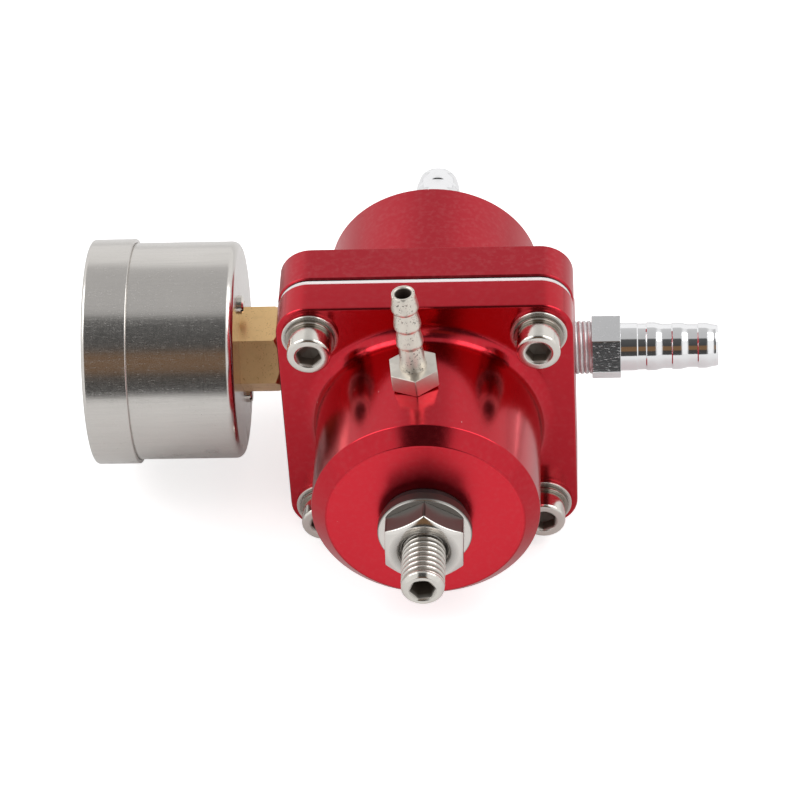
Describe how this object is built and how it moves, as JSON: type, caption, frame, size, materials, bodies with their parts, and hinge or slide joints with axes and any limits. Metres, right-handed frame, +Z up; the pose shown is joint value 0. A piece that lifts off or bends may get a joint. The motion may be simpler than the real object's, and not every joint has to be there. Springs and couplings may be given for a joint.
{
  "type": "fuel pressure regulator",
  "caption": "Adjustable return-style fuel pressure regulator: square-flanged round body with hose barbs, vacuum nipple, side pressure gauge and a locked adjusting screw.",
  "frame": {"origin": "middle of the base flange's lower edge face, on which the part rests, under the body axis", "axes": "+X out of the inlet barb, +Y out of the return barb along the body axis, +Z up; the adjuster points to -Y and the dial to -X"},
  "size_m": [0.1199, 0.1181, 0.0692],
  "materials": {
    "red_anodised": "satin",
    "black_rubber": "matte",
    "nickel_steel": "polished",
    "plated_steel": "satin",
    "spring_steel": "satin",
    "polished_aluminium": "polished",
    "brass": "satin",
    "stainless": "satin",
    "clear_lens": "gloss",
    "dial_white": "matte",
    "pointer_black": "matte"
  },
  "bodies": {
    "housing": {"base_body": "red_anodised", "spring_cap": "red_anodised", "diaphragm": "black_rubber", "return_seat": "brass", "main_spring": "spring_steel", "adjuster_seal": "black_rubber", "cap_screws": "nickel_steel", "spring_washers": "plated_steel", "flat_washers": "nickel_steel", "vacuum_nipple": "nickel_steel", "inlet_barb": "polished_aluminium", "return_barb": "polished_aluminium", "gauge_socket": "brass", "gauge_case": "stainless", "gauge_bezel": "stainless", "gauge_lens": "clear_lens", "lens_gasket": "black_rubber", "gauge_dial": "dial_white", "dial_screws": "brass", "stop_pin": "stainless", "bourdon_tube": "brass", "movement_back_plate": "brass", "movement_front_plate": "brass", "hairspring": "brass", "case_screws": "plated_steel"},
    "valve": {"spring_plate": "plated_steel", "backing_plate": "plated_steel", "valve_stud": "stainless", "stud_nut": "plated_steel", "valve_ball": "stainless"},
    "button": {"spring_button": "plated_steel"},
    "adjuster": {"adjusting_screw": "nickel_steel"},
    "jam_washer": {"lock_washer": "nickel_steel"},
    "jam_nut": {"lock_nut": "nickel_steel"},
    "pointer": {"gauge_pointer": "pointer_black", "pointer_pinion": "brass"},
    "sector": {"sector_gear": "brass"},
    "tube_end": {"tip_link": "brass", "tube_tip": "brass"}
  },
  "joints": [
    {"name": "valve_lift", "type": "slide", "parent": "housing", "child": "valve", "axis": [0, -1, 0], "range_m": [0, 0.001], "stiffness_N_per_m": 500, "springref_m": -0.004, "deforming": ["diaphragm", "main_spring"]},
    {"name": "button_slide", "type": "slide", "parent": "housing", "child": "button", "axis": [0, 1, 0], "range_m": [-0.004, 0.005], "deforming": ["main_spring"]},
    {"name": "adjuster_turn", "type": "hinge", "parent": "button", "child": "adjuster", "pos_m": [0, -0.0444, 0.0275], "axis": [0, 1, 0], "range_deg": [-1152, 1440]},
    {"name": "washer_slide", "type": "slide", "parent": "housing", "child": "jam_washer", "axis": [0, -1, 0], "range_m": [0, 0.0025]},
    {"name": "nut_turn", "type": "hinge", "parent": "jam_washer", "child": "jam_nut", "pos_m": [0, -0.0444, 0.0275], "axis": [0, -1, 0], "range_deg": [0, 720]},
    {"name": "pointer_turn", "type": "hinge", "parent": "housing", "child": "pointer", "pos_m": [-0.055, 0.008, 0.0275], "axis": [1, 0, 0], "range_deg": [0, 270], "stiffness_Nm_per_rad": 0.0002, "springref_deg": -17.19, "deforming": ["hairspring"]},
    {"name": "sector_turn", "type": "hinge", "parent": "housing", "child": "sector", "pos_m": [-0.055, 0.008, 0.0167], "axis": [1, 0, 0], "range_deg": [-54, 0]},
    {"name": "tube_move", "type": "slide", "parent": "housing", "child": "tube_end", "axis": [0, -0.9781, 0.2079], "range_m": [0, 0.00291], "stiffness_N_per_m": 150, "springref_m": -0.0006, "deforming": ["bourdon_tube"]}
  ],
  "couplings": [
    {"joint": "adjuster_turn", "follows": "button_slide", "rad_per_m": 5026.5},
    {"joint": "nut_turn", "follows": "washer_slide", "rad_per_m": 5026.5},
    {"joint": "sector_turn", "follows": "tube_move", "rad_per_m": -324.43},
    {"joint": "pointer_turn", "follows": "tube_move", "rad_per_m": 1622.2}
  ]
}
